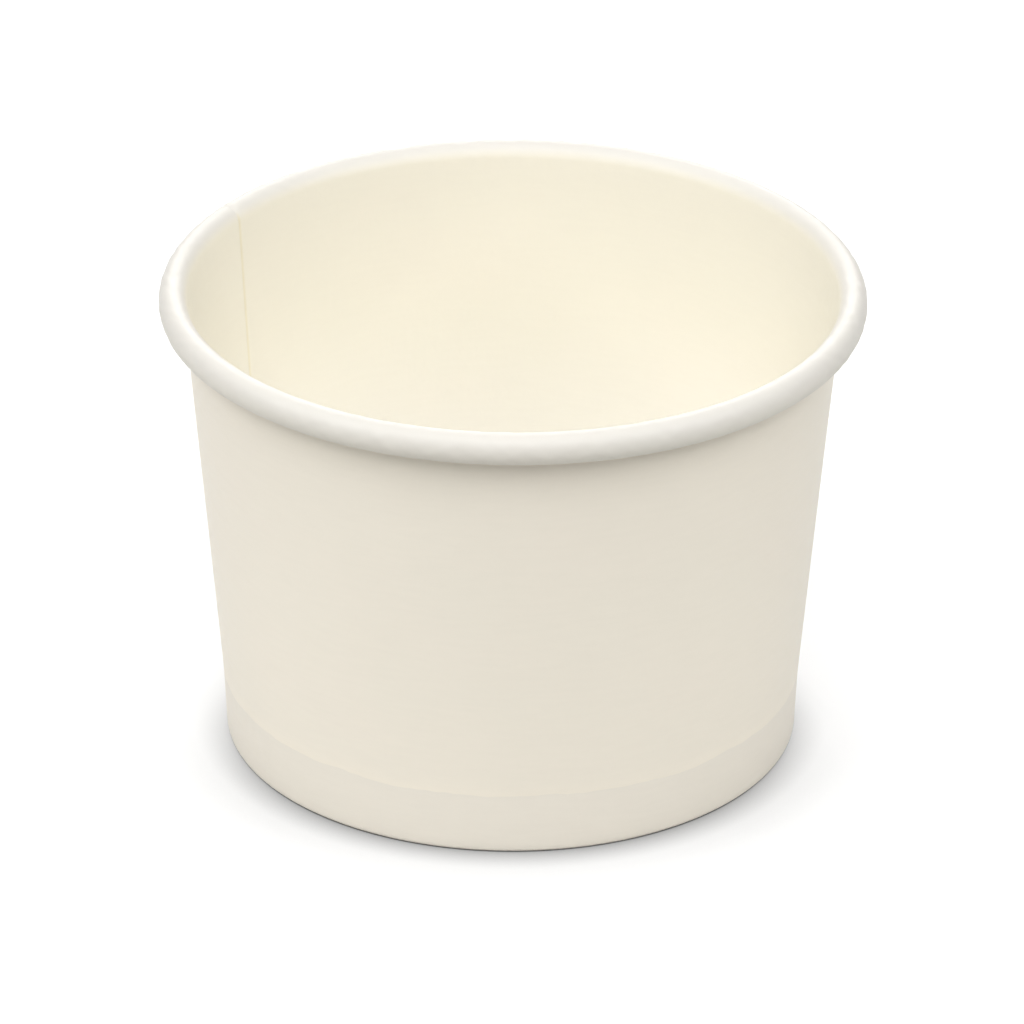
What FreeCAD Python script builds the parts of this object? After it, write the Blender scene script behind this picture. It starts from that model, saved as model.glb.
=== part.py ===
"""Paper soup container: a wrapped and sealed side wall, with a drawn bottom held in its folded foot.

Two real pieces, both of coated paperboard:
  side_wall    One fan-shaped blank wrapped into a cone. One edge steps out over the other and is sealed
               to it, the top is rolled outward into the rim, and the foot is turned in and up.
  bottom_disc  One disc with its edge drawn down into a skirt, clamped between wall and turned-in foot.

Frame: millimetres, +Z up, origin at the centre of the ring that the container stands on.
Every section is a sketch in a half plane through the axis: x is the radius and y is the height.
"""

import FreeCAD, Part
import math
import os

import Sketcher
from FreeCAD import Vector

OUT = "parts"

# driving dimensions: millimetres, and degrees for angles, tapers and directions
SIZES = {
    "rim_diameter": (90.0, "outside of the rolled rim"),
    "container_height": (62.0, "table to the top of the rim"),
    "bead_diameter": (3.9, "thickness of the rolled rim"),
    "curl_clearance": (0.1, "the roll's raw edge to a second board lapped on the wall"),
    "band_diameter": (74.2, "outside of the wall, level with the bottom's top face"),
    "band_height": (8.2, "table to the bottom's top face, where the wall's taper changes"),
    "band_lean_angle": (2.7, "the base band from upright: the bottom's skirt holds it steeper than the wall"),
    "wall_board": (0.48, "board of the side wall"),
    "bottom_board": (0.35, "board of the bottom"),
    "seal_film": (0.03, "coating melted between two boards"),
    "foot_radius": (0.5, "outside corners of the foot's fold"),
    "foot_clearance": (1.1, "raw edge of the turned-in foot to the start of the bottom's bend"),
    "skirt_clearance": (0.4, "skirt's lower edge to the inside of the foot's fold"),
    "bottom_bend": (0.9, "outside radius where the bottom turns down into its skirt"),
    "seam_direction": (149.0, "inner flap's raw edge, round the container from +X"),
    "lap_angle": (10.0, "how far the outer flap goes on past that edge"),
    "jog_angle": (1.4, "length of the outer flap's step, round the container"),
    "lap_root": (0.15, "depth that the two flaps share in the seal"),
    "lap_start": (0.05, "depth that the step starts from"),
    "notch_depth": (0.3, "inside line between the step and the inner flap's raw edge"),
    "lap_foot": (1.6, "table to where the pressed foot has closed the lap"),
    "lap_fade": (0.8, "height over which it closes"),
    "lap_end_direction": (-100.0, "from the roll's centre to the lap's upper end"),
    "knurl_count": (90, "flutes that the sealing wheel presses into the turned-in foot"),
    "knurl_radius": (0.9, "radius of one flute"),
    "knurl_depth": (0.12, "depth of one flute"),
    "knurl_start": (1.3, "table to the lower end of a flute"),
}

# the same lengths, as the sketches and the features read them
BOARD = "sizes.wall_board"
BAND_RADIUS = "sizes.band_diameter / 2"
BEAD_RADIUS = "sizes.bead_diameter / 2"
ROLL_RADIUS = "sizes.bead_diameter / 2 - sizes.wall_board"
ROLL_X = "(sizes.rim_diameter - sizes.bead_diameter) / 2"
ROLL_Y = "sizes.container_height - sizes.bead_diameter / 2"
SKIRT_OUTER = "sizes.wall_board + sizes.seal_film"
SKIRT_INNER = "sizes.wall_board + sizes.seal_film + sizes.bottom_board"
LEG_OUTER = "sizes.wall_board + 2 * sizes.seal_film + sizes.bottom_board"
LEG_INNER = "2 * sizes.wall_board + 2 * sizes.seal_film + sizes.bottom_board"
LEG_TOP = "sizes.band_height - sizes.bottom_bend - sizes.foot_clearance"
SKIRT_END = "sizes.wall_board + sizes.skirt_clearance"
STEP_DIRECTION = "sizes.seam_direction - sizes.jog_angle"

START, END, CENTRE = range(1, 4)  # Sketcher's numbers for the points of a line or an arc
X_AXIS, Y_AXIS = -START, -END  # and for a sketch's own axes
ORIGIN = (X_AXIS, START)
UPRIGHT_ANGLE = 90.0
FULL_ANGLE = 360.0


def make_sheet(doc):
    """The spreadsheet that drives the model."""
    sheet = doc.addObject("Spreadsheet::Sheet", "sizes")
    for row, (alias, (value, note)) in enumerate(SIZES.items(), start=1):
        sheet.set(f"A{row}", alias)
        sheet.set(f"B{row}", str(value))
        sheet.set(f"C{row}", note)
        sheet.setAlias(f"B{row}", alias)
    doc.recompute()
    return sheet


class Outline:
    """Where the wall's outer face runs: up the band, up the wall and round inside the roll.

    The sketches are drawn from it. An offset is a distance from that face, positive away from the axis.
    """

    def __init__(self, sheet):
        def read(expression):
            return float(sheet.evalExpression(expression))

        self.read = read
        self.roll_radius = read(ROLL_RADIUS)
        self.centre = Vector(read(ROLL_X), read(ROLL_Y))
        self.kink = Vector(read(BAND_RADIUS), read("sizes.band_height"))
        self.band_slope = math.radians(UPRIGHT_ANGLE - read("sizes.band_lean_angle"))
        reach = self.centre - self.kink
        self.wall_slope = math.atan2(reach.y, reach.x) + math.asin(self.roll_radius / reach.Length)

    def outward(self, slope):
        return Vector(math.sin(slope), -math.cos(slope))

    def band_point(self, offset, height):
        """On the band, at this height."""
        start = self.kink_point(offset)
        return start + Vector(height_run(self.band_slope, height - start.y), height - start.y)

    def kink_point(self, offset):
        """Where the band meets the wall."""
        wall, band = self.outward(self.wall_slope), self.outward(self.band_slope)
        return self.kink + (wall + band) * (offset / (1 + wall.dot(band)))

    def roll_point(self, offset, direction):
        """On the roll, in this direction from its centre."""
        return self.centre + Vector(math.cos(direction), math.sin(direction)) * (self.roll_radius - offset)

    def tangent_direction(self):
        """From the roll's centre to where the wall runs into the roll."""
        return self.wall_slope + math.pi / 2

    def raw_edge_direction(self):
        """From the roll's centre to the raw edge, which stops clear of a second board on the wall."""
        bead = self.read(BEAD_RADIUS)
        clear = self.read(f"{BOARD} + sizes.curl_clearance")
        turn = math.acos((self.roll_radius - clear) / bead)
        return self.tangent_direction() + turn - 2 * math.pi


def height_run(slope, rise):
    """How far a line of this slope moves out as it rises."""
    return rise / math.tan(slope)


class Section:
    """A sketch in a half plane through the axis, with its sizes bound to the sheet."""

    def __init__(self, body, name, direction="0"):
        self.sketch = body.newObject("Sketcher::SketchObject", name)
        planes = {plane.Role: plane for plane in body.Origin.OriginFeatures}
        self.sketch.AttachmentSupport = [(planes["XZ_Plane"], "")]
        self.sketch.MapMode = "FlatFace"
        turned = FreeCAD.Rotation(Vector(0, 1, 0), self.sketch.evalExpression(direction))
        self.sketch.AttachmentOffset = FreeCAD.Placement(Vector(), turned)
        self.sketch.setExpression("AttachmentOffset.Rotation.Angle", direction)

    def line(self, start, end, construction=False):
        return self.sketch.addGeometry(Part.LineSegment(start, end), construction)

    def arc(self, centre, radius, first, last):
        """Anticlockwise from the first direction to the last, in radians."""
        circle = Part.Circle(centre, Vector(0, 0, 1), radius)
        return self.sketch.addGeometry(Part.ArcOfCircle(circle, first, last), False)

    def circle(self, centre, radius):
        """Construction circle."""
        return self.sketch.addGeometry(Part.Circle(centre, Vector(0, 0, 1), radius), True)

    def hold(self, kind, *where):
        self.sketch.addConstraint(Sketcher.Constraint(kind, *where))

    def join(self, *ends):
        """Each pair of neighbours in the list, end to end."""
        for one, other in zip(ends[::2], ends[1::2]):
            self.hold("Coincident", *one, *other)

    def size(self, expression, kind, *where):
        """A dimension that follows the sheet."""
        value = float(self.sketch.evalExpression(expression))
        if kind == "Angle":
            value = math.radians(value)
        index = self.sketch.addConstraint(Sketcher.Constraint(kind, *where, value))
        self.sketch.setExpression(f"Constraints[{index}]", expression)

    def place(self, x, y, *point):
        self.size(x, "DistanceX", *ORIGIN, *point)
        self.size(y, "DistanceY", *ORIGIN, *point)

    def band_guide(self, outline):
        """Construction line: the band's outer face, down from the kink."""
        foot = outline.band_point(0, 0)
        guide = self.line(foot, outline.kink, construction=True)
        self.place(BAND_RADIUS, "sizes.band_height", guide, END)
        self.hold("PointOnObject", guide, START, X_AXIS)
        self.size(f"{UPRIGHT_ANGLE} - sizes.band_lean_angle", "Angle", guide)
        return guide

    def beside(self, offset, line, guide):
        """A line parallel to the guide and this far from it."""
        self.hold("Parallel", line, guide)
        self.size(offset, "Distance", line, START, guide)


def wall_section(body, outline):
    """The side wall's board, cut through: foot leg, fold, band, wall and roll, one thickness all along."""
    board = outline.read(BOARD)
    leg_in, leg_out = -outline.read(LEG_INNER), -outline.read(LEG_OUTER)
    leg_top = outline.read(LEG_TOP)
    corner = outline.read("sizes.foot_radius")
    across = outline.outward(outline.band_slope)
    section = Section(body, "wall_section")
    guide = section.band_guide(outline)

    # the fold: both corners are arcs that run into the flat ring
    heel = outline.band_point(-corner, corner)
    toe = outline.band_point(leg_in + corner, corner)
    leg_start = outline.band_point(leg_in, leg_top)
    leg_end = leg_start - across * leg_in + across * leg_out
    leg = section.line(leg_start, toe - across * corner)
    toe_arc = section.arc(toe, corner, outline.band_slope + math.pi / 2, 3 * math.pi / 2)
    ring = section.line(Vector(toe.x, 0), Vector(heel.x, 0))
    heel_arc = section.arc(heel, corner, -math.pi / 2, outline.band_slope - math.pi / 2)
    band = section.line(heel + across * corner, outline.kink)

    # the wall and the roll
    tangent, raw = outline.tangent_direction(), outline.raw_edge_direction()
    wall = section.line(outline.kink, outline.roll_point(0, tangent))
    roll_in = section.arc(outline.centre, outline.roll_radius, raw, tangent)
    raw_edge = section.line(outline.roll_point(0, raw), outline.roll_point(-board, raw))
    roll_out = section.arc(outline.centre, outline.roll_radius + board, raw, tangent)

    # the other face, back down to the leg's raw edge
    wall_in = section.line(outline.roll_point(-board, tangent), outline.kink_point(-board))
    fold_outer, fold_inner = outline.band_point(-board, board), outline.band_point(leg_out, board)
    band_in = section.line(outline.kink_point(-board), fold_outer)
    fold_in = section.line(fold_outer, fold_inner)
    leg_back = section.line(fold_inner, leg_end)
    leg_edge = section.line(leg_end, leg_start)

    section.hold("Tangent", leg, END, toe_arc, START)
    section.hold("Tangent", toe_arc, END, ring, START)
    section.hold("Tangent", ring, END, heel_arc, START)
    section.hold("Tangent", heel_arc, END, band, START)
    section.join((band, END), (wall, START))
    section.hold("Tangent", wall, END, roll_in, END)
    section.join((roll_in, START), (raw_edge, START), (raw_edge, END), (roll_out, START))
    section.hold("Tangent", roll_out, END, wall_in, START)
    section.join((wall_in, END), (band_in, START), (band_in, END), (fold_in, START))
    section.join((fold_in, END), (leg_back, START), (leg_back, END), (leg_edge, START))
    section.join((leg_edge, END), (leg, START), (roll_in, CENTRE), (roll_out, CENTRE))
    section.join((band, END), (guide, END))

    section.hold("PointOnObject", ring, START, X_AXIS)
    section.hold("Horizontal", ring)
    section.hold("Parallel", band, guide)
    section.hold("Parallel", wall_in, wall)
    section.hold("Horizontal", fold_in)
    section.hold("Perpendicular", leg_edge, leg)
    section.hold("PointOnObject", roll_in, CENTRE, raw_edge)
    section.size("sizes.foot_radius", "Radius", toe_arc)
    section.size("sizes.foot_radius", "Radius", heel_arc)
    section.beside(LEG_INNER, leg, guide)
    section.beside(LEG_OUTER, leg_back, guide)
    section.beside(BOARD, band_in, guide)
    section.size(BOARD, "DistanceY", *ORIGIN, fold_in, START)
    section.size(LEG_TOP, "DistanceY", *ORIGIN, leg, START)
    section.place(ROLL_X, ROLL_Y, roll_in, CENTRE)
    section.size(BEAD_RADIUS, "Radius", roll_out)
    section.size(ROLL_RADIUS, "Radius", roll_in)
    section.size(f"{BOARD} + sizes.curl_clearance", "Distance", raw_edge, END, wall)
    return section.sketch


def flap_section(body, outline, name, direction, near, far):
    """A strip between two offsets from the wall's outer face, up from the foot and round into the roll."""
    section = Section(body, name, direction)
    guide = section.band_guide(outline)
    tangent, upper = outline.tangent_direction(), math.radians(outline.read("sizes.lap_end_direction"))
    path = section.line(outline.kink, outline.roll_point(0, tangent), construction=True)
    roll_guide = section.circle(outline.centre, outline.roll_radius)
    section.place(ROLL_X, ROLL_Y, roll_guide, CENTRE)
    section.size(ROLL_RADIUS, "Radius", roll_guide)
    section.join((path, START), (guide, END))
    section.hold("Tangent", path, END, roll_guide)
    sides = []
    for offset, height in ((near, "sizes.lap_foot"), (far, "sizes.lap_foot + sizes.lap_fade")):
        out = outline.read(offset)
        kink = outline.kink_point(out)
        band = section.line(outline.band_point(out, outline.read(height)), kink)
        wall = section.line(kink, outline.roll_point(out, tangent))
        roll = section.arc(outline.centre, outline.roll_radius - out, upper, tangent)
        section.join((band, END), (wall, START), (roll, CENTRE), (roll_guide, CENTRE))
        section.hold("Tangent", wall, END, roll, END)
        section.hold("Parallel", wall, path)
        section.beside(f"abs({offset})", band, guide)
        section.size(height, "DistanceY", *ORIGIN, band, START)
        section.size(f"{ROLL_RADIUS} - ({offset})", "Radius", roll)
        sides.append((band, roll))
    (near_band, near_roll), (far_band, far_roll) = sides
    near_out, far_out = outline.read(near), outline.read(far)
    foot = section.line(
        outline.band_point(near_out, outline.read("sizes.lap_foot")),
        outline.band_point(far_out, outline.read("sizes.lap_foot + sizes.lap_fade")),
    )
    top = section.line(outline.roll_point(far_out, upper), outline.roll_point(near_out, upper))
    section.join((near_band, START), (foot, START), (foot, END), (far_band, START))
    section.join((far_roll, START), (top, START), (top, END), (near_roll, START))
    section.hold("PointOnObject", roll_guide, CENTRE, top)
    section.size("sizes.lap_end_direction", "Angle", top)
    return section.sketch


def flute_section(body, outline):
    """Half of one tooth of the sealing wheel, cut through: it turns about its own left side."""
    section = Section(body, "flute_section")
    guide = section.band_guide(outline)
    face, core = f"{LEG_INNER} - sizes.knurl_depth", f"{LEG_INNER} - sizes.knurl_depth + sizes.knurl_radius"
    low, high = outline.read("sizes.knurl_start"), outline.read(LEG_TOP) + outline.read(BOARD)
    face_out, core_out = -outline.read(face), -outline.read(core)
    across = outline.outward(outline.band_slope)
    low_face, high_face = outline.band_point(face_out, low), outline.band_point(face_out, high)
    to_core = across * (core_out - face_out)
    outer = section.line(low_face, high_face)
    upper = section.line(high_face, high_face + to_core)
    axis = section.line(high_face + to_core, low_face + to_core)
    lower = section.line(low_face + to_core, low_face)
    section.join((outer, END), (upper, START), (upper, END), (axis, START))
    section.join((axis, END), (lower, START), (lower, END), (outer, START))
    section.beside(face, outer, guide)
    section.beside(core, axis, guide)
    section.hold("Perpendicular", upper, outer)
    section.hold("Perpendicular", lower, outer)
    section.size("sizes.knurl_start", "DistanceY", *ORIGIN, outer, START)
    section.size(f"{LEG_TOP} + {BOARD}", "DistanceY", *ORIGIN, outer, END)
    return section.sketch, axis


def bottom_section(body, outline):
    """Half of the bottom, cut through: a flat disc, a bend and the skirt that hangs beside the band."""
    section = Section(body, "bottom_section")
    guide = section.band_guide(outline)
    top, bend = outline.read("sizes.band_height"), outline.read("sizes.bottom_bend")
    board, low = outline.read("sizes.bottom_board"), outline.read(SKIRT_END)
    outer_out, inner_out = -outline.read(SKIRT_OUTER), -outline.read(SKIRT_INNER)
    across = outline.outward(outline.band_slope)
    centre = outline.band_point(outer_out - bend, top - bend)
    low_outer = outline.band_point(outer_out, low)
    low_inner = low_outer + across * (inner_out - outer_out)
    turn = outline.band_slope - math.pi / 2

    face = section.line(Vector(0, top), Vector(centre.x, top))
    bend_out = section.arc(centre, bend, turn, math.pi / 2)
    skirt_out = section.line(centre + across * bend, low_outer)
    edge = section.line(low_outer, low_inner)
    skirt_in = section.line(low_inner, centre + across * (bend - board))
    bend_in = section.arc(centre, bend - board, turn, math.pi / 2)
    under = section.line(Vector(centre.x, top - board), Vector(0, top - board))
    middle = section.line(Vector(0, top - board), Vector(0, top))

    section.hold("Tangent", face, END, bend_out, END)
    section.hold("Tangent", bend_out, START, skirt_out, START)
    section.hold("Tangent", skirt_in, END, bend_in, START)
    section.hold("Tangent", bend_in, END, under, START)
    section.join((skirt_out, END), (edge, START), (edge, END), (skirt_in, START))
    section.join((under, END), (middle, START), (middle, END), (face, START))
    section.join((bend_out, CENTRE), (bend_in, CENTRE))
    section.hold("Horizontal", face)
    section.hold("Horizontal", under)
    section.hold("Perpendicular", edge, skirt_out)
    section.hold("PointOnObject", middle, START, Y_AXIS)
    section.hold("PointOnObject", middle, END, Y_AXIS)
    section.beside(SKIRT_OUTER, skirt_out, guide)
    section.hold("Parallel", skirt_in, guide)
    section.size("sizes.bottom_bend", "Radius", bend_out)
    section.size("sizes.bottom_bend - sizes.bottom_board", "Radius", bend_in)
    section.size("sizes.band_height", "DistanceY", *ORIGIN, middle, END)
    section.size(SKIRT_END, "DistanceY", *ORIGIN, skirt_out, END)
    return section.sketch


def make_body(doc, label):
    body = doc.addObject("PartDesign::Body", label)
    body.Label = label
    return body


def turn_section(body, name, sketch, angle=str(FULL_ANGLE)):
    """A revolution about the container's axis."""
    turned = body.newObject("PartDesign::Revolution", name)
    turned.Profile = sketch
    turned.ReferenceAxis = (sketch, ["V_Axis"])
    turned.setExpression("Angle", angle)
    return turned


def make_ramp(doc, outline, label, first, last):
    """A straight-ruled solid along the jog, from one near and far offset to another."""
    body = make_body(doc, label)
    ramp = body.newObject("PartDesign::AdditiveLoft", f"{label}_loft")
    ramp.Profile = flap_section(body, outline, f"{label}_start", STEP_DIRECTION, *first)
    ramp.Sections = [flap_section(body, outline, f"{label}_end", "sizes.seam_direction", *last)]
    ramp.Ruled = True
    return body


def make_wrapped_wall(doc, outline):
    """The blank as one round sheet, with the flutes that the sealing wheel leaves in the turned-in foot."""
    body = make_body(doc, "wrapped_wall")
    turn_section(body, "sheet", wall_section(body, outline))
    sketch, axis = flute_section(body, outline)
    flute = body.newObject("PartDesign::Groove", "flute")
    flute.Profile = sketch
    flute.ReferenceAxis = (sketch, [f"Edge{axis}"])
    flute.Angle = FULL_ANGLE
    doc.recompute()
    flutes = body.newObject("PartDesign::PolarPattern", "flutes")
    flutes.Originals = [flute]
    flutes.Axis = (sketch, ["V_Axis"])
    flutes.Angle = FULL_ANGLE
    flutes.setExpression("Occurrences", "sizes.knurl_count")
    body.Tip = flutes
    return body


def make_outer_flap(doc, outline):
    """The outer flap, from the inner flap's raw edge to its own."""
    body = make_body(doc, "outer_flap")
    section = flap_section(body, outline, "flap_section", "sizes.seam_direction", "-sizes.lap_root", BOARD)
    turn_section(body, "flap", section, "sizes.lap_angle")
    return body


def make_side_wall(doc, outline):
    """The round sheet with its lap seam: outside, the outer flap steps out over the inner flap's raw edge.

    Inside, the same step leaves a notch beside that edge. The pieces are joined with the shape functions,
    because the ruled step meets the round roll too closely for the document's own fuse.
    """
    root, inner_root = "-sizes.lap_root", f"-{BOARD} - sizes.lap_root"
    notch_start, notch_end = f"-{BOARD} - sizes.lap_start", f"-{BOARD} + sizes.notch_depth"
    wrapped = make_wrapped_wall(doc, outline)
    flap = make_outer_flap(doc, outline)
    step = make_ramp(doc, outline, "step", (root, "-sizes.lap_start"), (root, BOARD))
    notch = make_ramp(doc, outline, "notch", (inner_root, notch_start), (inner_root, notch_end))
    doc.recompute()
    side_wall = doc.addObject("Part::Feature", "side_wall")
    side_wall.Shape = wrapped.Shape.multiFuse([flap.Shape, step.Shape]).cut(notch.Shape)
    return side_wall


def make_bottom(doc, outline):
    """The drawn bottom."""
    body = make_body(doc, "bottom_disc")
    turn_section(body, "drawn_bottom", bottom_section(body, outline))
    return body


def write_out(doc, bodies):
    """Check every object, then write one file for each piece."""
    doc.recompute()
    for thing in doc.Objects:
        faults = {"Invalid", "Error"} & set(thing.State)
        if faults:
            raise RuntimeError(f"{thing.Label}: {sorted(faults)}")
    for body in bodies:
        shape = body.Shape
        if shape.isNull() or not shape.isValid() or len(shape.Solids) != 1:
            raise RuntimeError(f"{body.Label}: not one valid solid")
    os.makedirs(OUT, exist_ok=True)
    for body in bodies:
        body.Shape.exportStep(os.path.join(OUT, f"{body.Label}.step"))
        print(f"{body.Label}: {body.Shape.Volume:.1f} mm3, {len(body.Shape.Faces)} faces")


def main():
    doc = FreeCAD.newDocument("soup_container")
    outline = Outline(make_sheet(doc))
    write_out(doc, [make_side_wall(doc, outline), make_bottom(doc, outline)])


main()
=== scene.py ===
"""Looks of the paper soup container: coated white paperboard on a white table, under soft light.

Everything is in metres in the part's own frame: +Z up, origin at the middle of the ring it stands on.
The side wall is one sheet of even thickness. Its section is a path of points with outward normals, swept
round the axis, with the lap seam and the paper's own unevenness added.
"""

import math

import bpy
import numpy as np
from mathutils import Matrix, Vector


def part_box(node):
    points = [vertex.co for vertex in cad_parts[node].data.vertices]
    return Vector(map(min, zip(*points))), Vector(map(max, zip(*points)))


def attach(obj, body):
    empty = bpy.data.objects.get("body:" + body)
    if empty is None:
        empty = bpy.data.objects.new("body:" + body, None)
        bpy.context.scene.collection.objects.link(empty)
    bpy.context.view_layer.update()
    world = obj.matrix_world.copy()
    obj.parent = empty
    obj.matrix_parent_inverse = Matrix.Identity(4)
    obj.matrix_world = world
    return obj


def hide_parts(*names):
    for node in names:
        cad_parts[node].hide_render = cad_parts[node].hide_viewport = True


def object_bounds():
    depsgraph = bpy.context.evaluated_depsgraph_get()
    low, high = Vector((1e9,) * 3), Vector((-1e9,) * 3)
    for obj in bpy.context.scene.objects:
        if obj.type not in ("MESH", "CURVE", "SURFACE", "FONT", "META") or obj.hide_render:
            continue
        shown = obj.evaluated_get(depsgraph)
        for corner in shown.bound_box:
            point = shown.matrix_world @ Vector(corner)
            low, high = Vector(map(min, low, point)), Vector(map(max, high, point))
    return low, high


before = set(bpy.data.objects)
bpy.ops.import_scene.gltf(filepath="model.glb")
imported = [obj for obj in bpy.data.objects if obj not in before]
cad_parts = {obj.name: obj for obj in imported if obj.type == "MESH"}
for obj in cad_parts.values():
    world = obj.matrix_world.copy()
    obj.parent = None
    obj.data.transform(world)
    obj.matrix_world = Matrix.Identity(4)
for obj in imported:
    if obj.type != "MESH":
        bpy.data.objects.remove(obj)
CAD_LOW, CAD_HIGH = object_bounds()

MM = 0.001
FULL_TURN = 2 * math.pi
RIGHT_ANGLE = math.pi / 2

# ---------------------------------------------------------------- sizes

# the two boards, and the film that seals them
BOARD = 0.48 * MM
BOTTOM_BOARD = 0.35 * MM
SEAL_FILM = 0.03 * MM

# the wall's section
RIM_RADIUS = CAD_HIGH[0]
HEIGHT = CAD_HIGH[2]
BAND_RADIUS = 37.1 * MM
BAND_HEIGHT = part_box("bottom_disc")[1][2]
BAND_LEAN = math.radians(2.7)
MID_RADIUS = (RIM_RADIUS + BAND_RADIUS) / 2
FOOT_RADIUS = 0.5 * MM
KINK_BEND = 6.0 * MM

# the roll, which the curling tool leaves a little narrower than it is tall
BEAD_RADIUS = 1.95 * MM
CURL_CLEARANCE = 0.1 * MM
ROLL_NARROWER = 0.09
ROLL_TALLER = 0.05
PRESS_TURN = 0.6

# the bottom and its skirt, held between the band and the turned-in leg
BOTTOM_BEND = 0.9 * MM
BOTTOM_HUB = 0.05 * MM
SKIRT_CLEARANCE = 0.4 * MM
LEG_CLEARANCE = 1.1 * MM
LEG_TOP = BAND_HEIGHT - BOTTOM_BEND - LEG_CLEARANCE
STACK = 2 * BOARD + 2 * SEAL_FILM + BOTTOM_BOARD

# the sealing wheel's flutes round the turned-in leg
FLUTES = 90
FLUTE_DEPTH = 0.12 * MM
FLUTE_START = 1.3 * MM
FLUTE_FADE = 0.6 * MM
FLUTE_CURVE = 1.5

# the lap seam: its direction at the rim, and its lean for each metre down the wall
SEAM = math.radians(149.0)
SEAM_LEAN = math.radians(1.0) / (21 * MM)
LAP_ANGLE = math.radians(10.0)
JOG_ANGLE = math.radians(1.4)
CUT_ANGLE = math.radians(0.03)
LAP_FOOT = 0.4 * MM
LAP_FADE = 3.2 * MM
LAP_CURL_END = math.radians(-100.0)
NOTCH_DEPTH = 0.3 * MM
NOTCH_CURVE = 1.5

# rows of points along each run of a section, and columns round it
LEG_ROWS, TOE_ROWS, REST_ROWS, HEEL_ROWS = 9, 5, 2, 5
FOOT_ROWS = LEG_ROWS + TOE_ROWS + REST_ROWS + HEEL_ROWS
BAND_ROWS, KINK_ROWS, CONE_ROWS, ROLL_ROWS = 10, 4, 18, 37
DISC_ROWS, BEND_ROWS, SKIRT_ROWS = 40, 8, 8
WALL_COLUMNS = FLUTES * 6
JOG_COLUMNS = 6
BOTTOM_COLUMNS = 180
SHARP_ANGLE = math.radians(50)

# ---------------------------------------------------------------- unevenness
# waves round the container are (number, size, phase)

# out of round, growing up the wall, and more of it at the rim alone
OVAL_WAVES = ((2, 0.10 * MM, 0.7), (3, 0.05 * MM, 2.1))
RIM_WAVES = ((1, 0.12 * MM, 0.0), (2, 0.12 * MM, 0.0))
RIM_CURVE = 4
# slow waves between the band and the rim, upright ones and ones that lean with the height
SLOW_WAVES = ((7, 0.020 * MM, 1.0), (11, 0.016 * MM, 4.0), (17, 0.010 * MM, 2.5))
DRIFT_WAVES = ((5, 0.03 * MM, 0.3), (13, 0.010 * MM, 1.9))
DRIFT_LEAN = 9.0
BODY_CURVE = 0.7
# puckers in the band, in patches
PUCKER_WAVES = ((61, 0.011 * MM, 0.4), (83, 0.009 * MM, 2.2), (117, 0.006 * MM, 5.0))
PUCKER_PATCHES = ((5, 0.6, 1.0), (9, 0.4, 3.0))
PUCKER_PATCHINESS = 0.5
PUCKER_HEIGHT = 0.80 * BAND_HEIGHT
PUCKER_SPREAD = 0.28 * BAND_HEIGHT
# fine ridges across the roll, leaning both ways, in patches, most of all on its outer side
RIDGES = ((127, 0.012 * MM, 0.0), (101, 0.018 * MM, 1.3), (73, 0.018 * MM, 2.6), (41, 0.022 * MM, 4.4))
RIDGE_LEAN = 0.05
RIDGE_SWAY = 0.004
RIDGE_SWAYS = 3
CROSS_RIDGES = ((89, 0.015 * MM, 0.8), (59, 0.015 * MM, 3.7))
CROSS_LEAN = -0.09
RIDGE_PATCHES = ((4, 0.6, 0.2), (7, 0.4, 1.5))
RIDGE_PATCHINESS = 0.4
RIDGE_SIDE = 0.6
RIDGE_START = 2.2 * BEAD_RADIUS
RIDGE_FULL = 1.4 * BEAD_RADIUS
RIDGE_SHOWS_BEHIND = 0.5
# the bottom's sag, and its ripples away from the skirt
BOTTOM_SAG = 0.25 * MM
SAG_CURVE = 1.5
RIPPLE_WAVES = ((2, 0.03 * MM, 0.5), (5, 0.015 * MM, 2.0))
RIPPLE_REACH = 0.96
RIPPLE_FADE = 0.2

# ---------------------------------------------------------------- colours and finish

BOARD_OUTSIDE = (0.952, 0.891, 0.768, 1.0)
BOARD_INSIDE = (0.864, 0.825, 0.714, 1.0)
# painted light: the lining's paler, whiter tone low in the container stands in for the light gathered there
BOARD_DEEP_PAINTED_LIGHT = (0.902, 0.877, 0.815, 1.0)
# painted shade: the roll is the lining's own board, painted darker and greyer against the stronger light that
# falls on its top
BOARD_ROLLED_PAINTED_SHADE = (0.732, 0.707, 0.656, 1.0)
BOARD_RAW = (0.800, 0.735, 0.520, 1.0)
BOTTOM_INSIDE = (0.880, 0.862, 0.804, 1.0)
# painted shade: the base band darker, for the light that shines through the single wall but not through the
# three pressed boards of the band
BAND_PAINTED_SHADE = (0.935, 0.941, 0.960, 1.0)
# painted highlight: the strip just above the band's edge, paler where the bend catches the light
STRIP_PAINTED_HIGHLIGHT = (1.015, 1.012, 1.008, 1.0)

# the lining's heights: where its paler tone of painted light is full, and where its own tone takes over
DEEP_HEIGHT, UPPER_HEIGHT = 12 * MM, 46 * MM
# turns round the roll: where its painted shade comes in, and where part of that painted shade goes again
# underneath
ROLLED_TURN = 0.9
UNDER_TURN = 0.7
UNDER_LOSS = 0.6
# the band's wavering top edge, and the strip above it with its painted highlight
EDGE_NOISE = (95.0, 3.0, 0.55)
EDGE_WAVER = 0.8 * MM
EDGE_BLUR = 0.09 * MM
STRIP_HEIGHT = 3.2 * MM
# the line beside the inner raw edge, partly raw board and partly painted shade in the notch: where it starts,
# where it is full, and how strong it is
SEAM_LINE_START, SEAM_LINE_FULL = 0.75 * MM, 0.35 * MM
SEAM_LINE_RAW_AND_SHADE = 0.55
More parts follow.
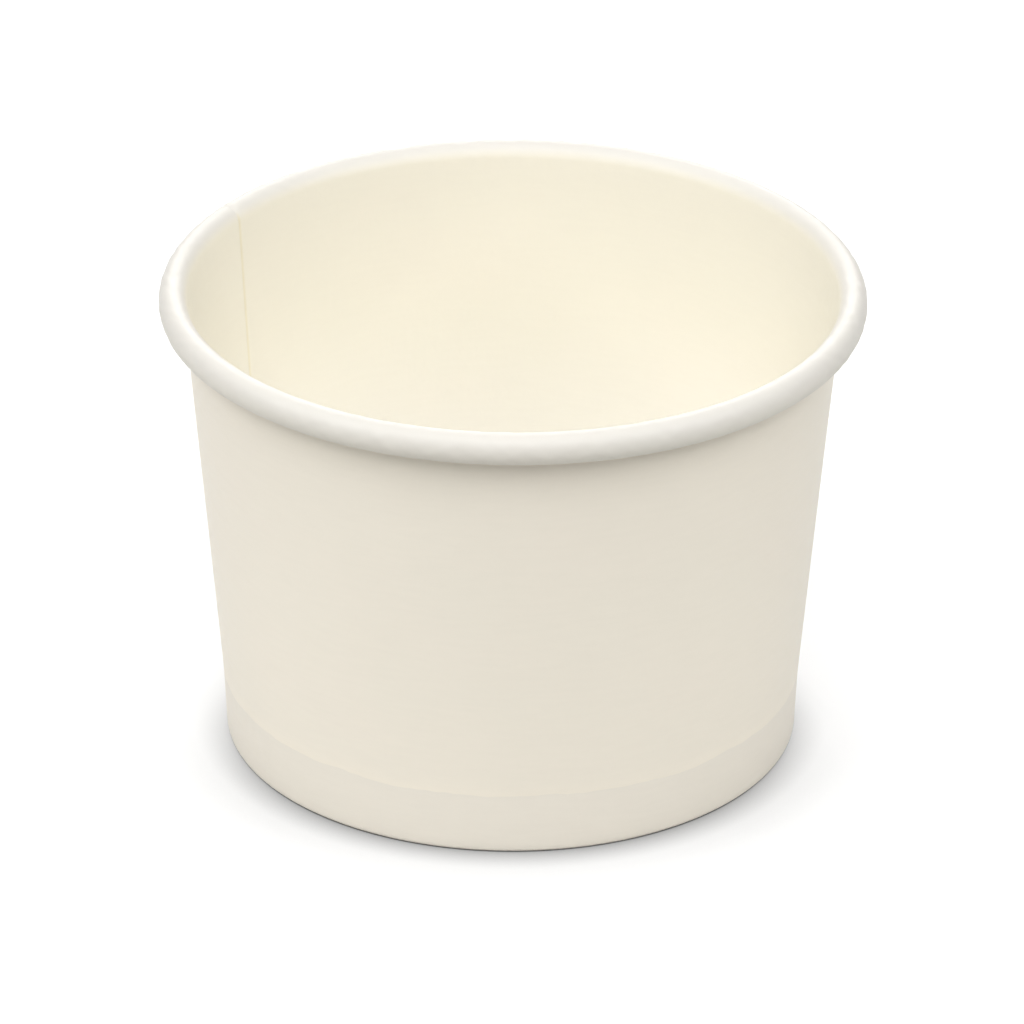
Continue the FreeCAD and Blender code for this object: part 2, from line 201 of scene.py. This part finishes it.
# faint tints: stretch round and up, noise (scale, detail, roughness), the noise's range, share, colour
TINTS = (
    ((1.0, 1.0), (60.0, 3.0, 0.55), (0.35, 0.65), 0.035, (0.80, 0.83, 0.70, 1.0)),     # cool clouds
    ((0.8, 1.3), (47.0, 2.0, 0.50), (0.45, 0.75), 0.050, (0.93, 0.80, 0.72, 1.0)),     # warm clouds
    ((0.12, 1.0), (1500.0, 3.0, 0.60), (0.30, 0.70), 0.040, (0.70, 0.66, 0.57, 1.0)),  # the fibre's streaks
)
# relief: stretch round and up, noise (scale, detail, roughness), strength, depth
FIBRE = ((0.35, 1.0), (4200.0, 4.0, 0.6), 0.20, 0.03 * MM)
PEEL = ((1.0, 1.0), (700.0, 2.0, 0.5), 0.25, 0.08 * MM)
# the film's gloss, which varies a little with its orange peel
PEEL_RANGE = (0.3, 0.7)
ROUGHNESS = (0.42, 0.52)
FILM_IOR = 1.47
FILM_SPECULAR = 0.4

# ---------------------------------------------------------------- stage

# the table's grey where the camera sees it, with the light that lifts it to white, and elsewhere, and the share
# of that grey kept close to the container as painted shade
FLOOR_WHITE = 0.50
FLOOR_LIFT = 0.60
FLOOR_GREY = 0.57
FLOOR_SHADED = 0.6
FLOOR_RADIUS = 0.30
FLOOR_CORNERS = 96
FLOOR_DROP = 0.02 * MM
# the painted contact shadow, from ambient occlusion: (reach, depth), and the places where it is full and gone
CONTACTS = ((24 * MM, 0.62), (4.5 * MM, 0.75))
CONTACT_SAMPLES = 16
SHADE_FRONT = -32 * MM
SHADE_BACK = 30 * MM

WORLD_LEVEL = 0.04
LAMP_SIZE = 0.8
LAMP_DISTANCE = 1.1
# name: degrees round from the camera's side, degrees up, power
LAMPS = {"front": (0, 50, 5.4), "over": (0, 70, 1.5), "left": (-65, 40, 5.8), "right": (65, 40, 4.9),
         "side_left": (-105, 40, 1.7), "side_right": (105, 40, 1.1), "back": (180, 25, 4.5)}

# the photograph's view: from a little above, with a long lens
VIEW_ELEVATION = math.radians(27.2)
VIEW_DISTANCE = 1.152
VIEW_TARGET = Vector((0.00006, 0.0, 0.02934))
VIEW_ROLL = 0.0045
LENS = 316.0
SENSOR = 36.0


# ---------------------------------------------------------------- sections

def direction(angle):
    return np.array([math.cos(angle), math.sin(angle)])


def outward(angle):
    """Normal on the side away from the axis of a line that rises at this angle."""
    return np.array([math.sin(angle), -math.cos(angle)])


UP = np.array([0.0, 1.0])
KINK = np.array([BAND_RADIUS, BAND_HEIGHT])
BAND_SLOPE = RIGHT_ANGLE - BAND_LEAN
ROLL_RADIUS = BEAD_RADIUS - BOARD
ROLL_CENTRE = np.array([RIM_RADIUS - BEAD_RADIUS, HEIGHT - BEAD_RADIUS])
ROLL_INMOST = ROLL_CENTRE[0] - BEAD_RADIUS


def wall_slope():
    """Angle of the line that leaves the kink and meets the roll as its tangent."""
    reach = ROLL_CENTRE - KINK
    return math.atan2(reach[1], reach[0]) + math.asin(ROLL_RADIUS / math.hypot(*reach))


WALL_SLOPE = wall_slope()
ROLL_START = WALL_SLOPE + RIGHT_ANGLE
ROLL_END = ROLL_START + math.acos((ROLL_RADIUS - BOARD - CURL_CLEARANCE) / BEAD_RADIUS) - FULL_TURN


def band_point(offset, height):
    """On the band's line, moved this far outward, at this height."""
    start = KINK + outward(BAND_SLOPE) * offset
    rise = height - start[1]
    return start + np.array([rise / math.tan(BAND_SLOPE), rise])


class Path:
    """A run of points with their outward normals: straight runs and arcs, end to end."""

    def __init__(self):
        self.points, self.normals = [], []

    def line(self, start, end, normal, rows, last=False):
        for share in np.linspace(0, 1, rows, endpoint=last):
            self.points.append(start + (end - start) * share)
            self.normals.append(normal)

    def arc(self, centre, radius, first, final, rows, sign=1, last=False):
        for angle in np.linspace(first, final, rows, endpoint=last):
            self.points.append(centre + direction(angle) * radius)
            self.normals.append(direction(angle) * sign)

    def arrays(self):
        return np.array(self.points), np.array(self.normals)


def wall_path():
    """The sheet's outer face, from the leg's raw edge, round the foot, up the wall and round the roll."""
    across = outward(BAND_SLOPE)
    toe = band_point(FOOT_RADIUS - STACK, FOOT_RADIUS)
    heel = band_point(-FOOT_RADIUS, FOOT_RADIUS)
    bend = KINK_BEND * math.tan((BAND_SLOPE - WALL_SLOPE) / 2)
    band_end = KINK - direction(BAND_SLOPE) * bend
    cone_start = KINK + direction(WALL_SLOPE) * bend
    cone_end = ROLL_CENTRE + direction(ROLL_START) * ROLL_RADIUS

    path = Path()
    path.line(band_point(-STACK, LEG_TOP), toe - across * FOOT_RADIUS, -across, LEG_ROWS)
    path.arc(toe, FOOT_RADIUS, BAND_SLOPE + RIGHT_ANGLE, 3 * RIGHT_ANGLE, TOE_ROWS)
    path.line(np.array([toe[0], 0.0]), np.array([heel[0], 0.0]), -UP, REST_ROWS)
    path.arc(heel, FOOT_RADIUS, -RIGHT_ANGLE, BAND_SLOPE - RIGHT_ANGLE, HEEL_ROWS)
    path.line(heel + across * FOOT_RADIUS, band_end, across, BAND_ROWS)
    path.arc(band_end + across * KINK_BEND, KINK_BEND,
             BAND_SLOPE + RIGHT_ANGLE, WALL_SLOPE + RIGHT_ANGLE, KINK_ROWS, sign=-1)
    path.line(cone_start, cone_end, outward(WALL_SLOPE), CONE_ROWS)
    path.arc(ROLL_CENTRE, ROLL_RADIUS, ROLL_START, ROLL_END, ROLL_ROWS, sign=-1, last=True)
    return path.arrays()


def bottom_path():
    """The bottom's upper face, from the skirt's low edge up, round the bend and in to the middle."""
    across = outward(BAND_SLOPE)
    outer = -(BOARD + SEAL_FILM)
    centre = band_point(outer - BOTTOM_BEND, BAND_HEIGHT - BOTTOM_BEND)
    low = band_point(outer, BOARD + SKIRT_CLEARANCE)

    path = Path()
    path.line(np.array([BOTTOM_HUB, BAND_HEIGHT]), np.array([centre[0], BAND_HEIGHT]), UP, DISC_ROWS)
    path.arc(centre, BOTTOM_BEND, RIGHT_ANGLE, BAND_SLOPE - RIGHT_ANGLE, BEND_ROWS)
    path.line(centre + across * BOTTOM_BEND, low, across, SKIRT_ROWS, last=True)
    points, normals = path.arrays()
    return points[::-1], normals[::-1], centre[0]


# ---------------------------------------------------------------- the lap and the unevenness

def smooth(value, low, high):
    """0 at low, 1 at high, smooth between and level outside."""
    share = np.clip((value - low) / (high - low), 0, 1)
    return share * share * (3 - 2 * share)


def ramp(theta, start, width):
    """0 up to start, 1 past its width, straight between."""
    return np.clip((theta - start) / width, 0, 1)


def wave(theta, terms):
    """A sum of whole waves round the container."""
    return sum(size * np.cos(number * theta + phase) for number, size, phase in terms)


def patchy(share, signal):
    """1 where the signal is 1: this share of the level follows the signal, and the rest stays."""
    return (1 - share) + share * signal


def wall_columns():
    """Directions of the wall's columns from the seam on, with extra ones at the lap's jog and cut edges."""
    even = np.linspace(0, FULL_TURN, WALL_COLUMNS, endpoint=False)
    jog = np.linspace(SEAM - JOG_ANGLE, SEAM, JOG_COLUMNS)
    free = SEAM + LAP_ANGLE
    extra = np.concatenate([jog, [SEAM + CUT_ANGLE, free, free + CUT_ANGLE]])
    clear = np.array([np.min(np.abs(extra - angle)) > 2 * CUT_ANGLE for angle in even])
    theta = np.concatenate([even[clear], extra])
    return theta[np.argsort((theta - SEAM) % FULL_TURN)]


def lap_rise(theta):
    """How much of a board the outer flap stands out, by direction."""
    return ramp(theta, SEAM - JOG_ANGLE, JOG_ANGLE) * (1 - ramp(theta, SEAM + LAP_ANGLE, CUT_ANGLE))


def notch_rise(theta):
    """How far the notch beside the inner flap's raw edge has opened, by direction."""
    return ramp(theta, SEAM - JOG_ANGLE, JOG_ANGLE) ** NOTCH_CURVE * (1 - ramp(theta, SEAM, CUT_ANGLE))


def unevenness(theta, height):
    """Radial drift of the paper from a true cone."""
    high = height / HEIGHT
    body = np.clip((height - BAND_HEIGHT) / (HEIGHT - BAND_HEIGHT), 0, 1)
    body = np.sin(math.pi * body) ** BODY_CURVE
    oval = wave(theta, OVAL_WAVES) * high + wave(theta, RIM_WAVES) * high ** RIM_CURVE
    drift = wave(theta, SLOW_WAVES) + wave(theta + height * DRIFT_LEAN, DRIFT_WAVES)
    return oval + drift * body


def puckers(theta, height):
    """Small upright folds where the wheel has pressed the band on to the skirt."""
    place = np.exp(-((height - PUCKER_HEIGHT) / PUCKER_SPREAD) ** 2)
    return place * wave(theta, PUCKER_WAVES) * patchy(PUCKER_PATCHINESS, wave(theta, PUCKER_PATCHES))


def roll_ridges(theta, turn):
    """Fine ridges across the roll, where the board was stretched over the curling tool."""
    lean = theta + RIDGE_LEAN * turn + RIDGE_SWAY * np.sin(RIDGE_SWAYS * turn)
    ridges = wave(lean, RIDGES) + wave(theta + CROSS_LEAN * turn, CROSS_RIDGES)
    patches = patchy(RIDGE_PATCHINESS, wave(theta, RIDGE_PATCHES))
    return ridges * patches * patchy(RIDGE_PATCHINESS, np.cos(turn - RIDGE_SIDE))


# ---------------------------------------------------------------- the two sheets

def from_polar(radius, around, level):
    return np.stack([radius * np.cos(around), radius * np.sin(around), level], axis=-1)


def both_faces(outer, inner):
    """Rows for the outer face up the section, then for the inner face back down it."""
    return np.concatenate([outer, inner[..., ::-1]], axis=-1)


def make_sheet(name, outer, inner):
    """A closed mesh from a sheet's two faces: columns round the axis, rows along the section."""
    grid = np.concatenate([outer, inner[:, ::-1]], axis=1)
    columns, rows = grid.shape[:2]
    index = np.arange(columns * rows).reshape(columns, rows)
    right, up = np.roll(index, -1, axis=0), np.roll(index, -1, axis=1)
    faces = np.stack([index, right, np.roll(right, -1, axis=1), up], axis=-1).reshape(-1, 4)
    mesh = bpy.data.meshes.new(name)
    mesh.from_pydata(grid.reshape(-1, 3).tolist(), [], faces.tolist())
    mesh.update()
    mesh.polygons.foreach_set("use_smooth", [True] * len(mesh.polygons))
    mesh.set_sharp_from_angle(angle=SHARP_ANGLE)
    piece = bpy.data.objects.new(name, mesh)
    bpy.context.scene.collection.objects.link(piece)
    return piece, grid, faces


def by_row(grid, values):
    return np.broadcast_to(values, grid.shape[:2]).ravel()


def by_column(grid, values):
    return np.broadcast_to(values[:, None], grid.shape[:2]).ravel()


def add_uv(piece, around, along):
    """A UV map in metres, from each face's own four corners."""
    uv = piece.data.uv_layers.new(name="board")
    uv.data.foreach_set("uv", np.stack([around.ravel(), along.ravel()], axis=-1).ravel())


def add_layer(piece, name, values):
    """A number for each point, which the material reads by name."""
    layer = piece.data.attributes.new(name, "FLOAT", "POINT")
    layer.data.foreach_set("value", values)


def wall_faces(theta, height, turn, on_leg, in_wall, in_roll):
    """How far the sheet's two faces stand out from the path, by column and row."""
    lap = smooth(height, LAP_FOOT, LAP_FOOT + LAP_FADE) * in_wall
    lap[turn < LAP_CURL_END] = 0.0
    flutes = np.maximum(np.cos(theta * FLUTES), 0) ** FLUTE_CURVE
    fluted = smooth(height, FLUTE_START, FLUTE_START + FLUTE_FADE) * on_leg
    curled = smooth(height, HEIGHT - RIDGE_START, HEIGHT - RIDGE_FULL) * in_roll
    ridges = roll_ridges(theta[:, None], turn) * curled
    outer = np.outer(lap_rise(theta), lap) * BOARD - np.outer(flutes, fluted) * FLUTE_DEPTH
    inner = np.outer(notch_rise(theta), lap) * NOTCH_DEPTH - BOARD
    return outer - ridges * RIDGE_SHOWS_BEHIND, inner - ridges


def build_wall():
    """The side wall: the folded, lapped and rolled sheet."""
    points, normals = wall_path()
    theta = wall_columns()
    row = np.arange(len(points))
    on_leg, in_wall, in_roll = row < LEG_ROWS, row >= FOOT_ROWS, row >= len(points) - ROLL_ROWS
    turn = np.zeros(len(points))
    turn[in_roll] = np.linspace(ROLL_START, ROLL_END, ROLL_ROWS)
    pressed = smooth(ROLL_START - turn, 0, PRESS_TURN) * in_roll

    def place(offset):
        section = points + normals * offset[:, :, None]
        radius, level = section[..., 0], section[..., 1]
        radius = radius - (radius - ROLL_INMOST) * ROLL_NARROWER * pressed
        level = level - (HEIGHT - level) * ROLL_TALLER * pressed
        around = theta[:, None] + SEAM_LEAN * (HEIGHT - level)
        radius = radius + unevenness(around, level) + puckers(around, level) * in_wall
        return from_polar(radius, around, level)

    outer, inner = wall_faces(theta, points[:, 1], turn, on_leg, in_wall, in_roll)
    piece, grid, faces = make_sheet("wall_sheet", place(outer), place(inner))

    # the UV map runs round from the seam and up the sheet, and closes on itself at the seam
    run = np.concatenate([[0], np.cumsum(np.hypot(*np.diff(points, axis=0).T))])
    along = by_row(grid, both_faces(run, run))[faces]
    around = by_column(grid, (theta - SEAM) % FULL_TURN * MID_RADIUS)[faces]
    closing = faces[:, 1] < faces[:, 0]
    around[closing, 1:3] += FULL_TURN * MID_RADIUS
    add_uv(piece, around, along)

    # how much of the roll's painted shade each row takes: full on its top, partly gone underneath
    rolled = smooth(turn, ROLL_START, ROLL_START - ROLLED_TURN) * in_roll
    rolled = rolled * (1 - UNDER_LOSS * smooth(turn, UNDER_TURN, -UNDER_TURN))
    add_layer(piece, "inside", by_row(grid, both_faces(np.zeros(len(points)), np.ones(len(points)))))
    add_layer(piece, "rolled", by_row(grid, both_faces(rolled, rolled)))
    add_layer(piece, "height", grid[:, :, 2].ravel())
    return piece


def build_bottom():
    """The bottom: a drawn disc whose skirt hangs beside the band."""
    points, normals, flat_radius = bottom_path()
    theta = np.linspace(0, FULL_TURN, BOTTOM_COLUMNS, endpoint=False)
    reach = points[:, 0] / flat_radius
    sag = BOTTOM_SAG * np.clip(1 - reach ** 2, 0, 1) ** SAG_CURVE
    rippled = np.clip(reach, 0, 1) ** 2 * smooth(RIPPLE_REACH - reach, 0, RIPPLE_FADE)
    lift = np.outer(wave(theta, RIPPLE_WAVES), rippled) - sag

    def place(offset):
        section = points + normals * offset
        return from_polar(section[:, 0], theta[:, None], section[:, 1] + lift)

    piece, grid, faces = make_sheet("bottom_sheet", place(0.0), place(-BOTTOM_BOARD))
    add_uv(piece, grid[:, :, 0].ravel()[faces], grid[:, :, 1].ravel()[faces])
    add_layer(piece, "inside", by_row(grid, both_faces(np.ones(len(points)), np.zeros(len(points)))))
    return piece


# ---------------------------------------------------------------- materials

class Nodes:
    """Short calls for building the node tree of one material or world."""

    def __init__(self, owner):
        owner.use_nodes = True
        self.tree = owner.node_tree
        self.tree.nodes.clear()

    def add(self, kind, **settings):
        node = self.tree.nodes.new(kind)
        for name, value in settings.items():
            setattr(node, name, value)
        return node

    def link(self, source, target):
        self.tree.links.new(source, target)

    def wire(self, source, target):
        """Link a socket, or set a number or colour."""
        if isinstance(source, bpy.types.NodeSocket):
            self.link(source, target)
        else:
            target.default_value = source

    def math(self, operation, *sources):
        node = self.add("ShaderNodeMath", operation=operation)
        for socket, source in zip(node.inputs, sources):
            self.wire(source, socket)
        return node.outputs[0]

    def times(self, first, second):
        return self.math("MULTIPLY", first, second)

    def larger(self, first, second):
        return self.math("MAXIMUM", first, second)

    def rest_of(self, share):
        return self.math("SUBTRACT", 1.0, share)

    def mix(self, share, first, second, blend="MIX"):
        """Blend two colours, which are a Mix node's sockets 6 and 7."""
        node = self.add("ShaderNodeMix", data_type="RGBA", blend_type=blend)
        self.wire(share, node.inputs["Factor"])
        self.wire(first, node.inputs[6])
        self.wire(second, node.inputs[7])
        return node.outputs[2]

    def attribute(self, name):
        return self.add("ShaderNodeAttribute", attribute_name=name).outputs["Fac"]

    def axis(self, vector, name):
        node = self.add("ShaderNodeSeparateXYZ")
        self.link(vector, node.inputs[0])
        return node.outputs[name]

    def spread(self, source, low, high, to_low=0.0, to_high=1.0):
        """Carry one range to another, smooth between and level outside."""
        node = self.add("ShaderNodeMapRange", interpolation_type="SMOOTHSTEP")
        self.link(source, node.inputs["Value"])
        node.inputs["From Min"].default_value = low
        node.inputs["From Max"].default_value = high
        node.inputs["To Min"].default_value = to_low
        node.inputs["To Max"].default_value = to_high
        return node.outputs[0]

    def noise(self, vector, scale, detail, roughness):
        node = self.add("ShaderNodeTexNoise")
        self.link(vector, node.inputs["Vector"])
        node.inputs["Scale"].default_value = scale
        node.inputs["Detail"].default_value = detail
        node.inputs["Roughness"].default_value = roughness
        return node.outputs["Fac"]

    def stretched_noise(self, uv, stretch, noise):
        node = self.add("ShaderNodeMapping")
        self.link(uv, node.inputs["Vector"])
        node.inputs["Scale"].default_value = (*stretch, 1.0)
        return self.noise(node.outputs[0], *noise)

    def bump(self, height, strength, depth, normal=None):
        node = self.add("ShaderNodeBump")
        node.inputs["Strength"].default_value = strength
        node.inputs["Distance"].default_value = depth
        self.link(height, node.inputs["Height"])
        if normal is not None:
            self.link(normal, node.inputs["Normal"])
        return node.outputs[0]

    def seen(self):
        """1 for rays that show the background: straight, mirrored or through glass."""
        paths = self.add("ShaderNodeLightPath").outputs
        return self.larger(self.larger(paths["Is Camera Ray"], paths["Is Glossy Ray"]),
                           paths["Is Transmission Ray"])

    def finish(self, kind, result):
        out = self.add(kind)
        self.link(result, out.inputs["Surface"])


def near_band(nodes, uv, base):
    """The base band is painted a little darker as painted shade, where three pressed boards let less light
    through than the single wall, with a painted highlight on the strip above.
    """
    round_only = nodes.add("ShaderNodeCombineXYZ")
    nodes.link(nodes.axis(uv, "X"), round_only.inputs["X"])
    waver = nodes.noise(round_only.outputs[0], *EDGE_NOISE)
    edge = nodes.math("MULTIPLY_ADD", waver, 2 * EDGE_WAVER, BAND_HEIGHT - EDGE_WAVER)
    above = nodes.math("SUBTRACT", nodes.attribute("height"), edge)
    # painted highlight on the strip above the band's edge
    base = nodes.mix(nodes.spread(above, 0.0, STRIP_HEIGHT, 1.0, 0.0), base, STRIP_PAINTED_HIGHLIGHT, "MULTIPLY")
    # painted shade on the band itself
    return nodes.mix(nodes.spread(above, -EDGE_BLUR, EDGE_BLUR, 1.0, 0.0), base, BAND_PAINTED_SHADE, "MULTIPLY")


def near_seam(nodes, uv, inside, base):
    """Raw board at the two cut edges of the lap, and the line beside the inner one, which is partly raw board
    and partly painted shade in the notch.
    """
    around = nodes.axis(uv, "X")
    full, free, half_cut = FULL_TURN * MID_RADIUS, LAP_ANGLE * MID_RADIUS, CUT_ANGLE * MID_RADIUS / 2
    step = nodes.math("COMPARE", around, half_cut, half_cut)
    # the line beside the inner raw edge: partly raw board, partly painted shade in the notch
    notch = nodes.spread(around, full - SEAM_LINE_START, full - SEAM_LINE_FULL)
    inner = nodes.times(nodes.larger(step, nodes.times(notch, SEAM_LINE_RAW_AND_SHADE)), inside)
    inner = nodes.times(inner, nodes.rest_of(nodes.attribute("rolled")))
    outer = nodes.math("COMPARE", around, free + half_cut, half_cut)
    outer = nodes.times(outer, nodes.rest_of(inside))
    return nodes.mix(nodes.larger(inner, outer), base, BOARD_RAW)


def wall_colours(nodes, inside):
    """The wall's outside and its lining, which is painted paler low down as painted light, and the roll's
    darker tone, which is painted shade.
    """
    # painted light: how much of the paler low tone the lining takes, by height
    painted_light_low = nodes.spread(nodes.attribute("height"), DEEP_HEIGHT, UPPER_HEIGHT, 1.0, 0.0)
    base = nodes.mix(inside, BOARD_OUTSIDE, nodes.mix(painted_light_low, BOARD_INSIDE, BOARD_DEEP_PAINTED_LIGHT))
    # painted shade: the darker, greyer tone on the roll
    return nodes.mix(nodes.times(inside, nodes.attribute("rolled")), base, BOARD_ROLLED_PAINTED_SHADE)


def board_material(name, on_wall):
    """Coated white paperboard: a fine fibre under a satin film."""
    material = bpy.data.materials.new(name)
    nodes = Nodes(material)
    uv = nodes.add("ShaderNodeUVMap", uv_map="board").outputs[0]
    inside = nodes.attribute("inside")

    base = wall_colours(nodes, inside) if on_wall else nodes.mix(inside, BOARD_OUTSIDE, BOTTOM_INSIDE)
    for stretch, noise, (low, high), share, colour in TINTS:
        cloud = nodes.stretched_noise(uv, stretch, noise)
        base = nodes.mix(nodes.spread(cloud, low, high, 0.0, share), base, colour)
    if on_wall:
        base = nodes.mix(nodes.rest_of(inside), base, near_band(nodes, uv, base))
        base = near_seam(nodes, uv, inside, base)

    normal = None
    for stretch, noise, strength, depth in (FIBRE, PEEL):
        relief = nodes.stretched_noise(uv, stretch, noise)
        normal = nodes.bump(relief, strength, depth, normal)

    shader = nodes.add("ShaderNodeBsdfPrincipled")
    nodes.link(base, shader.inputs["Base Color"])
    nodes.link(nodes.spread(relief, *PEEL_RANGE, *ROUGHNESS), shader.inputs["Roughness"])
    nodes.link(normal, shader.inputs["Normal"])
    shader.inputs["IOR"].default_value = FILM_IOR
    shader.inputs["Specular IOR Level"].default_value = FILM_SPECULAR
    nodes.finish("ShaderNodeOutputMaterial", shader.outputs[0])
    return material


def grey(level):
    return (level, level, level, 1.0)


def painted_contact_shadow(nodes):
    """Painted contact shadow: 1 on the open table, less close to the container, most of all in front of it."""
    closeness = 1.0
    for reach, depth in CONTACTS:
        near = nodes.add("ShaderNodeAmbientOcclusion", samples=CONTACT_SAMPLES)
        near.inputs["Distance"].default_value = reach
        closeness = nodes.times(nodes.math("POWER", near.outputs["AO"], depth), closeness)
    front_to_back = nodes.axis(nodes.add("ShaderNodeNewGeometry").outputs["Position"], "Y")
    in_front = nodes.spread(front_to_back, SHADE_FRONT, SHADE_BACK, 1.0, 0.0)
    return nodes.rest_of(nodes.times(in_front, nodes.rest_of(closeness)))


def floor_material():
    """White table: it keeps the lamps' shadows of the object, with a painted contact shadow added close to it,
    and reads as white where nothing shades it.
    """
    material = bpy.data.materials.new("white_table")
    nodes = Nodes(material)
    seen, open_share = nodes.seen(), painted_contact_shadow(nodes)
    matt = nodes.add("ShaderNodeBsdfDiffuse")
    # painted contact shadow in the grey and the lift that the camera sees
    white = nodes.mix(open_share, grey(0.0), grey(FLOOR_WHITE))
    # painted shade in the grey that the table bounces, close to the container
    unseen = nodes.mix(open_share, grey(FLOOR_GREY * FLOOR_SHADED), grey(FLOOR_GREY))
    nodes.link(nodes.mix(seen, unseen, white), matt.inputs["Color"])
    glow = nodes.add("ShaderNodeEmission")
    nodes.link(nodes.times(seen, nodes.times(open_share, FLOOR_LIFT)), glow.inputs["Strength"])
    both = nodes.add("ShaderNodeAddShader")
    nodes.link(matt.outputs[0], both.inputs[0])
    nodes.link(glow.outputs[0], both.inputs[1])
    nodes.finish("ShaderNodeOutputMaterial", both.outputs[0])
    return material


# ---------------------------------------------------------------- the stage

def make_floor():
    """A round white table top; past its edge the camera sees the white surround."""
    angles = np.linspace(0, FULL_TURN, FLOOR_CORNERS, endpoint=False)
    corners = [(*(direction(angle) * FLOOR_RADIUS), 0.0) for angle in angles]
    mesh = bpy.data.meshes.new("floor")
    mesh.from_pydata(corners, [], [range(FLOOR_CORNERS)])
    floor = bpy.data.objects.new("floor", mesh)
    bpy.context.scene.collection.objects.link(floor)
    floor.location.z = -FLOOR_DROP
    mesh.materials.append(floor_material())


def make_world():
    """An even white surround, as in a light tent, that the camera sees as white."""
    world = bpy.data.worlds.new("surround")
    bpy.context.scene.world = world
    nodes = Nodes(world)
    light = nodes.add("ShaderNodeBackground")
    light.inputs["Color"].default_value = grey(1.0)
    nodes.link(nodes.spread(nodes.seen(), 0.0, 1.0, WORLD_LEVEL, 1.0), light.inputs["Strength"])
    nodes.finish("ShaderNodeOutputWorld", light.outputs[0])


def make_lamp(name, azimuth, elevation, power):
    """A round soft box that faces the container."""
    light = bpy.data.lights.new(name, "AREA")
    light.shape = "DISK"
    light.size = LAMP_SIZE
    light.energy = power
    lamp = bpy.data.objects.new(name, light)
    side, rise = math.radians(azimuth), math.radians(elevation)
    away = Vector((math.sin(side) * math.cos(rise), -math.cos(side) * math.cos(rise), math.sin(rise)))
    lamp.location = away * LAMP_DISTANCE + Vector((0, 0, HEIGHT / 2))
    lamp.rotation_euler = away.to_track_quat("Z", "Y").to_euler()
    bpy.context.scene.collection.objects.link(lamp)


def make_camera():
    """The photograph's camera."""
    data = bpy.data.cameras.new("camera")
    data.lens = LENS
    data.sensor_width = SENSOR
    camera = bpy.data.objects.new("camera", data)
    away = Vector((0.0, -math.cos(VIEW_ELEVATION), math.sin(VIEW_ELEVATION)))
    camera.location = VIEW_TARGET + away * VIEW_DISTANCE
    facing = (-away).to_track_quat("-Z", "Y").to_matrix()
    camera.rotation_euler = (facing @ Matrix.Rotation(VIEW_ROLL, 3, "Z")).to_euler()
    bpy.context.scene.collection.objects.link(camera)
    bpy.context.scene.camera = camera


def main():
    wall, bottom = build_wall(), build_bottom()
    for piece, node, slot in ((wall, "side_wall", "wall_board"), (bottom, "bottom_disc", "bottom_board")):
        piece.data.materials.append(board_material(slot, piece is wall))
        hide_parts(node)
        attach(piece, "root")
    make_floor()
    make_world()
    for name, settings in LAMPS.items():
        make_lamp(name, *settings)
    make_camera()
    bpy.context.scene.view_settings.view_transform = "Standard"


main()
